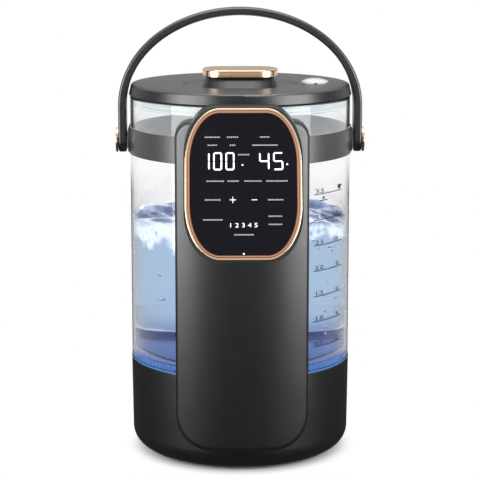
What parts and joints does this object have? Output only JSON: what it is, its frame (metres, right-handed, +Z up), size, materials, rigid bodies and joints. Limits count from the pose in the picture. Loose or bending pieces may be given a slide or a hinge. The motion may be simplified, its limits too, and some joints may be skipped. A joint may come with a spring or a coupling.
{
  "type": "electric thermo pot",
  "caption": "Glass electric thermo pot on a heated base, with a pumped spout under a tilted touch panel, a swinging bail handle and a round lid with a knob and steam vent.",
  "frame": {"origin": "on the tank's axis, in the plane that the rubber foot stands on", "axes": "+Z up along the tank's axis, -Y towards the column, the touch panel and the spout, +X to the right seen from the front"},
  "size_m": [0.2034, 0.249, 0.3655],
  "materials": {
    "dark_plastic": "satin charcoal moulded plastic",
    "black_plastic": "plain black moulded plastic",
    "foot_rubber": "black rubber",
    "screw_steel": "plain steel screws",
    "stainless": "pressed stainless steel",
    "black_silicone": "black silicone",
    "clear_silicone": "milky silicone hose",
    "clear_glass": "clear borosilicate glass",
    "spreader_aluminium": "cast aluminium",
    "element_steel": "heat-tinted steel sheath",
    "board_green": "green circuit board",
    "component_black": "moulded electronic parts",
    "pin_brass": "nickel-tinted brass",
    "white_nylon": "white nylon washers",
    "rose_gold": "rose-gold plated trim",
    "white_gloss": "pale pearl plastic",
    "black_gloss": "black glossy touch panel"
  },
  "bodies": {
    "root": {"base_shell": "dark_plastic", "bottom_cover": "black_plastic", "foot_ring": "foot_rubber", "bottom_screws": "screw_steel", "tank_floor": "stainless", "tank_seal": "black_silicone", "glass_tank": "clear_glass", "heat_spreader": "spreader_aluminium", "heating_element": "element_steel", "thermal_cutouts": "spreader_aluminium", "temperature_sensor": "stainless", "outlet_strainer": "stainless", "water_pump": "black_plastic", "pump_inlet_hose": "clear_silicone", "riser_hose": "clear_silicone", "power_board": "board_green", "power_components": "component_black", "board_screws": "screw_steel", "mains_inlet": "black_plastic", "inlet_pins": "pin_brass", "collar_band": "dark_plastic", "pivot_washers": "white_nylon", "pivot_pins": "screw_steel", "pivot_caps": "rose_gold", "column_shell": "dark_plastic", "column_back": "black_plastic", "column_screws": "screw_steel", "panel_housing": "dark_plastic", "bezel_ring": "rose_gold", "display_lens": "black_gloss", "display_board": "board_green", "spout_nozzle": "black_plastic"},
    "handle": {"handle_bail": "dark_plastic"},
    "lid": {"lid_cover": "dark_plastic", "lid_liner": "white_nylon", "lid_seal": "clear_silicone", "lid_screws": "screw_steel", "knob_neck": "dark_plastic", "knob_cap": "rose_gold", "knob_screw": "screw_steel", "steam_vent_cap": "white_gloss", "steam_valve": "clear_silicone"}
  },
  "joints": [
    {"name": "handle_swing", "type": "hinge", "parent": "root", "child": "handle", "pos_m": [0, 0, 0.2576], "axis": [1, 0, 0], "range_deg": [-110, 60]},
    {"name": "lid_turn", "type": "hinge", "parent": "root", "child": "lid", "pos_m": [0, 0, 0.2941], "axis": [0, 0, 1], "continuous": true}
  ]
}
